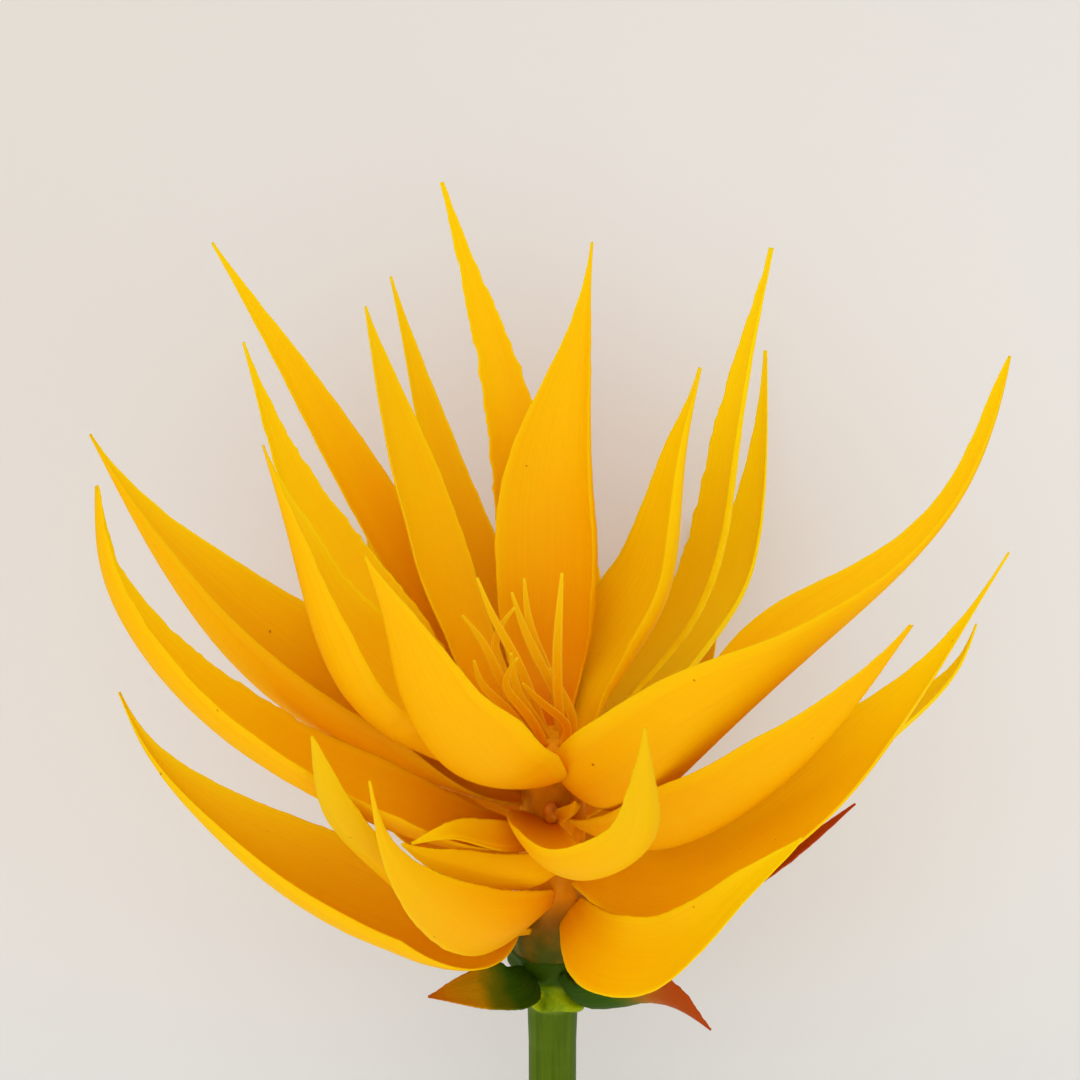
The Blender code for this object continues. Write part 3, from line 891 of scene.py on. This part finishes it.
class Nodes:
    """Adds nodes to a material and links them."""

    def __init__(self, name):
        self.material = bpy.data.materials.new(name)
        self.material.use_nodes = True
        self.tree = self.material.node_tree
        self.shader = self.tree.nodes["Principled BSDF"]

    def link(self, value, socket):
        if isinstance(value, bpy.types.NodeSocket):
            self.tree.links.new(value, socket)
        else:
            socket.default_value = value

    def attribute(self, name):
        node = self.tree.nodes.new("ShaderNodeAttribute")
        node.attribute_name = name
        return node.outputs["Vector"]

    def split(self, vector):
        node = self.tree.nodes.new("ShaderNodeSeparateXYZ")
        self.link(vector, node.inputs[0])
        return node.outputs

    def join(self, x, y, z):
        node = self.tree.nodes.new("ShaderNodeCombineXYZ")
        for value, socket in zip((x, y, z), node.inputs):
            self.link(value, socket)
        return node.outputs[0]

    def math(self, kind, first, second=0.0):
        node = self.tree.nodes.new("ShaderNodeMath")
        node.operation = kind
        self.link(first, node.inputs[0])
        self.link(second, node.inputs[1])
        return node.outputs[0]

    def range(self, value, low, high, to_low=0.0, to_high=1.0):
        node = self.tree.nodes.new("ShaderNodeMapRange")
        node.interpolation_type = "SMOOTHSTEP"
        for given, socket in zip((value, low, high, to_low, to_high), node.inputs):
            self.link(given, socket)
        return node.outputs[0]

    def noise(self, vector, scale, detail=3.0, rough=0.55):
        node = self.tree.nodes.new("ShaderNodeTexNoise")
        self.link(vector, node.inputs["Vector"])
        node.inputs["Scale"].default_value = scale
        node.inputs["Detail"].default_value = detail
        node.inputs["Roughness"].default_value = rough
        return node.outputs["Fac"]

    def ramp(self, value, stops):
        node = self.tree.nodes.new("ShaderNodeValToRGB")
        self.link(value, node.inputs[0])
        while len(node.color_ramp.elements) < len(stops):
            node.color_ramp.elements.new(0.5)
        for element, (place, colour) in zip(node.color_ramp.elements, stops):
            element.position = place
            element.color = (*colour, 1.0)
        return node.outputs[0]

    def veins(self, signed, along, count):
        """Long streaks: this many across the blade, and few along it."""
        streaks = self.join(self.math("MULTIPLY", signed, count), self.math("MULTIPLY", along, 2.0), 0.0)
        return self.noise(streaks, 1.0, 4.0, 0.6)

    def mix(self, share, first, second):
        node = self.tree.nodes.new("ShaderNodeMix")
        node.data_type = "RGBA"
        self.link(share, node.inputs["Factor"])
        for value, socket in ((first, node.inputs[6]), (second, node.inputs[7])):
            self.link((*value, 1.0) if isinstance(value, tuple) else value, socket)
        return node.outputs[2]

    def bump(self, height, strength, distance):
        node = self.tree.nodes.new("ShaderNodeBump")
        self.link(height, node.inputs["Height"])
        node.inputs["Strength"].default_value = strength
        node.inputs["Distance"].default_value = distance
        self.tree.links.new(node.outputs[0], self.shader.inputs["Normal"])

    def finish(self, colour, roughness, glow=0.0, radius=GLOW_RADIUS, specular=0.35):
        inputs = self.shader.inputs
        self.link(colour, inputs["Base Color"])
        self.link(roughness, inputs["Roughness"])
        inputs["Specular IOR Level"].default_value = specular
        inputs["Subsurface Weight"].default_value = glow
        inputs["Subsurface Radius"].default_value = radius
        inputs["Subsurface Scale"].default_value = GLOW_DEPTH
        return self.material


def petal_material():
    """Waxy petal: amber at its foot, yellow at its tip, with faint veins and soft blotches. Its rims are
    paler, partly their own colour and partly a painted highlight, and a petal's depth value paints light over
    it or shade at its foot.
    """
    n = Nodes("petal")
    across, along, side = n.split(n.attribute("blade"))
    signed, deep_and_painted_light, green = n.split(n.attribute("tone"))
    place = n.attribute("place")
    drift = n.noise(place, 60.0, 2.0)
    shifted = n.math("ADD", along, n.math("MULTIPLY", n.math("SUBTRACT", drift, 0.5), 0.2))
    colour = n.ramp(shifted, (
        (0.0, (0.80, 0.22, 0.0)),
        (0.12, (0.91, 0.38, 0.0)),
        (0.35, (0.95, 0.48, 0.0)),
        (0.7, (0.96, 0.55, 0.0)),
        (1.0, (0.95, 0.61, 0.0)),
    ))
    outside = n.range(side, 0.2, -0.2)
    colour = n.mix(n.math("MULTIPLY", outside, 0.6), colour, (0.86, 0.39, 0.0))
    # Partly the petal's own paler rim and partly a painted highlight: the rims are mixed towards a light
    # yellow.
    rim = n.range(across, 0.8, 1.0)
    colour = n.mix(n.math("MULTIPLY", rim, 0.3), colour, (0.97, 0.64, 0.0))
    colour = n.mix(n.math("MULTIPLY", green, n.range(along, 0.35, 0.85)), colour, (0.74, 0.53, 0.004))
    # Painted light: a depth value below 0 makes the whole petal yellower.
    colour = n.mix(n.range(deep_and_painted_light, 0.0, -1.0), colour, (1.0, 0.66, 0.0))
    # Painted shade: a depth value above 0 darkens the petal towards its foot.
    shade = n.math("MULTIPLY", n.range(deep_and_painted_light, 0.0, 1.0), n.range(along, 0.5, 0.0))
    colour = n.mix(shade, colour, (0.62, 0.10, 0.0))
    veins = n.veins(signed, along, 22.0)
    colour = n.mix(n.range(veins, 0.4, 0.75, 0.0, 0.16), colour, (0.84, 0.27, 0.0))
    specks = n.range(n.noise(place, 650.0, 1.0), 0.79, 0.83, 0.0, 0.7)
    colour = n.mix(specks, colour, (0.35, 0.09, 0.0))
    mottle = n.noise(place, 420.0, 3.0)
    rough = n.range(mottle, 0.3, 0.7, 0.5, 0.62)
    n.bump(n.math("ADD", n.math("MULTIPLY", veins, 0.8), n.math("MULTIPLY", mottle, 0.2)), 0.15, 0.0002)
    return n.finish(colour, rough, glow=0.3, radius=PETAL_GLOW_RADIUS, specular=0.05)


def filament_material():
    """Amber at its foot, yellow at its tip, with paler rims."""
    n = Nodes("filament")
    across, along, _ = n.split(n.attribute("blade"))
    colour = n.ramp(along, (
        (0.0, (0.85, 0.36, 0.0)),
        (0.4, (0.95, 0.53, 0.0)),
        (1.0, (0.97, 0.62, 0.002)),
    ))
    colour = n.mix(n.range(across, 0.5, 1.0, 0.0, 0.5), colour, (0.98, 0.60, 0.03))
    grain = n.noise(n.attribute("place"), 900.0, 2.0)
    n.bump(grain, 0.2, 0.0002)
    return n.finish(colour, 0.55, glow=0.4, radius=PETAL_GLOW_RADIUS, specular=0.05)


def sepal_material():
    """Sepal: dark green at its foot, olive, then orange and red-brown at its tip."""
    n = Nodes("sepal")
    _, along, _ = n.split(n.attribute("blade"))
    signed, deep_and_painted_light, _ = n.split(n.attribute("tone"))
    drift = n.noise(n.attribute("place"), 170.0, 3.0)
    shifted = n.math("ADD", along, n.math("MULTIPLY", n.math("SUBTRACT", drift, 0.5), 0.22))
    colour = n.ramp(shifted, (
        (0.0, (0.012, 0.05, 0.001)),
        (0.35, (0.022, 0.08, 0.001)),
        (0.5, (0.13, 0.14, 0.001)),
        (0.6, (0.46, 0.24, 0.0)),
        (0.85, (0.50, 0.19, 0.0)),
        (1.0, (0.42, 0.09, 0.001)),
    ))
    veins = n.veins(signed, along, 18.0)
    colour = n.mix(n.range(veins, 0.4, 0.7, 0.0, 0.3), colour, (0.12, 0.10, 0.001))
    colour = n.mix(n.math("MULTIPLY", deep_and_painted_light, n.range(shifted, 0.4, 0.7)), colour, (0.40, 0.05, 0.002))
    n.bump(veins, 0.35, 0.0003)
    return n.finish(colour, 0.5, glow=0.15, specular=0.05)


def receptacle_material():
    """Streaked tissue: orange above, brown and olive at its foot."""
    n = Nodes("receptacle")
    place = n.attribute("place")
    height = n.split(place)[2]
    streaks = n.noise(place, 350.0, 4.0)
    colour = n.ramp(n.range(height, 6.0 * MM, 42.0 * MM), (
        (0.0, (0.06, 0.075, 0.001)),
        (0.08, (0.22, 0.09, 0.001)),
        (0.2, (0.74, 0.27, 0.0)),
        (1.0, (0.92, 0.40, 0.0)),
    ))
    colour = n.mix(n.range(streaks, 0.4, 0.7, 0.0, 0.3), colour, (0.40, 0.13, 0.002))
    n.bump(streaks, 0.5, 0.0006)
    return n.finish(colour, 0.6, glow=0.15, specular=0.1)


def calyx_material():
    """Patchy yellow green at its lobes, dark green above them."""
    n = Nodes("calyx")
    place = n.attribute("place")
    patch = n.noise(place, 260.0, 4.0)
    colour = n.ramp(patch, (
        (0.3, (0.09, 0.16, 0.0)),
        (0.5, (0.27, 0.35, 0.0)),
        (0.7, (0.46, 0.48, 0.002)),
    ))
    height = n.split(place)[2]
    colour = n.mix(n.range(height, -0.8 * MM, 1.8 * MM), colour, (0.03, 0.065, 0.0))
    n.bump(patch, 0.5, 0.0006)
    return n.finish(colour, 0.5, glow=0.1, specular=0.06)


def stem_material():
    """Smooth green skin with faint lengthwise streaks, paler at the top rim, and a pale cut end."""
    n = Nodes("stem")
    place = n.attribute("place")
    x, y, z = n.split(place)
    streaks = n.noise(n.join(x, y, n.math("MULTIPLY", z, 0.04)), 900.0, 4.0)
    colour = n.mix(n.range(streaks, 0.3, 0.7), (0.052, 0.100, 0.001), (0.085, 0.140, 0.002))
    spots = n.noise(place, 140.0, 3.0)
    colour = n.mix(n.range(spots, 0.45, 0.8, 0.0, 0.4), colour, (0.13, 0.21, 0.02))
    colour = n.mix(n.range(z, -5.5 * MM, -4.2 * MM), colour, (0.16, 0.22, 0.02))
    cut = n.range(z, (0.12 - STEM_FOOT) * MM, (0.02 - STEM_FOOT) * MM)
    pores = n.range(n.noise(place, 1600.0, 2.0), 0.4, 0.6)
    pith = n.mix(pores, (0.42, 0.50, 0.20), (0.30, 0.40, 0.12))
    colour = n.mix(cut, colour, pith)
    n.bump(streaks, 0.2, 0.0003)
    rough = n.range(cut, 0.0, 1.0, 0.42, 0.8)
    return n.finish(colour, rough, glow=0.05, radius=STEM_GLOW_RADIUS, specular=0.06)


def bud_material():
    """Mottled amber."""
    n = Nodes("bud")
    grain = n.noise(n.attribute("place"), 700.0, 3.0)
    colour = n.mix(n.range(grain, 0.35, 0.7), (0.72, 0.25, 0.002), (0.88, 0.38, 0.006))
    n.bump(grain, 0.3, 0.0003)
    return n.finish(colour, 0.5, glow=0.3)


def floor_material():
    """Pale paper with painted light falloff: darker and warmer towards one side, lighter and cooler towards
    the other, and painted shade towards its -Y side. A painted pool of light in its middle lightens the
    flower's shadow.
    """
    n = Nodes("floor")
    x, y, _ = n.split(n.tree.nodes.new("ShaderNodeTexCoord").outputs["Object"])
    # Painted light falloff: darker and warmer towards -X and +Y, lighter and cooler towards +X and -Y.
    painted_falloff = n.range(n.math("SUBTRACT", x, y), -0.3, 0.15)
    colour = n.mix(painted_falloff, (0.70, 0.672, 0.63), (0.758, 0.752, 0.737))
    # Painted shade: darker towards the -Y side.
    colour = n.mix(n.range(y, 0.02, -0.07), colour, (0.665, 0.675, 0.68))
    # Painted light: a lighter, cooler pool round the flower that lightens its shadow on the floor.
    from_middle = n.math("SUBTRACT", y, 0.06)
    squares = n.math("ADD", n.math("MULTIPLY", x, x), n.math("POWER", from_middle, 2.0))
    colour = n.mix(n.range(n.math("SQRT", squares), 0.12, 0.0, 0.0, 0.7), colour, (0.82, 0.83, 0.84))
    return n.finish(colour, 0.9, specular=0.1)


def add_floor():
    mesh = bpy.data.meshes.new("floor")
    corners = [(x * FLOOR_REACH, y * FLOOR_REACH, 0.0) for x, y in ((-1, -1), (1, -1), (1, 1), (-1, 1))]
    mesh.from_pydata(corners, [], [(0, 1, 2, 3)])
    floor = bpy.data.objects.new("floor", mesh)
    mesh.materials.append(floor_material())
    bpy.context.scene.collection.objects.link(floor)


def add_camera():
    """The camera looks at the flower as the photograph does, so it looks down on it as it lies."""
    rise = math.radians(CAMERA_ELEVATION)
    right = Vector((1.0, 0.0, 0.0))
    up = Vector((0.0, math.sin(rise), math.cos(rise)))
    back = Vector((0.0, -math.cos(rise), math.sin(rise)))
    place = (Vector(CAMERA_TARGET) + back * CAMERA_DISTANCE) * MM
    pose = Matrix((right, up, back)).transposed().to_4x4()
    pose.translation = place
    camera = bpy.data.objects.new("camera", bpy.data.cameras.new("camera"))
    camera.matrix_world = TO_WORLD @ pose
    camera.data.sensor_width = SENSOR
    camera.data.lens = SENSOR * CAMERA_DISTANCE / FRAME_WIDTH
    camera.data.clip_start = CLIP_START
    camera.data.clip_end = CLIP_END
    bpy.context.scene.collection.objects.link(camera)
    bpy.context.scene.camera = camera


def add_area_light(name, place, size, power, colour):
    data = bpy.data.lights.new(name, "AREA")
    data.shape = "DISK"
    data.size = size
    data.energy = power
    data.color = colour
    light = bpy.data.objects.new(name, data)
    light.location = place
    light.rotation_euler = (Vector(LIT_PLACE) - Vector(place)).to_track_quat("-Z", "Y").to_euler()
    bpy.context.scene.collection.objects.link(light)


def add_lights():
    """An even pale sky, and two large soft lights."""
    world = bpy.data.worlds.new("studio")
    world.use_nodes = True
    background = world.node_tree.nodes["Background"]
    background.inputs["Color"].default_value = SKY_COLOUR
    background.inputs["Strength"].default_value = 1.0
    bpy.context.scene.world = world
    for name, (place, size, power, colour) in LIGHTS.items():
        add_area_light(name, place, size, power, colour)


MATERIALS = {
    "petal": petal_material(),
    "filament": filament_material(),
    "sepal": sepal_material(),
    "receptacle": receptacle_material(),
    "calyx": calyx_material(),
    "stem": stem_material(),
    "bud": bud_material(),
}
bpy.context.scene.view_settings.view_transform = "Standard"
add_upper_inner_petals()
add_upper_middle_petals()
add_upper_outer_petals()
add_middle_front_petals()
add_middle_back_petals()
add_lower_front_petals()
add_lower_back_petals()
add_sepals()
add_filaments()
add_core()
add_bud()
add_floor()
add_camera()
add_lights()
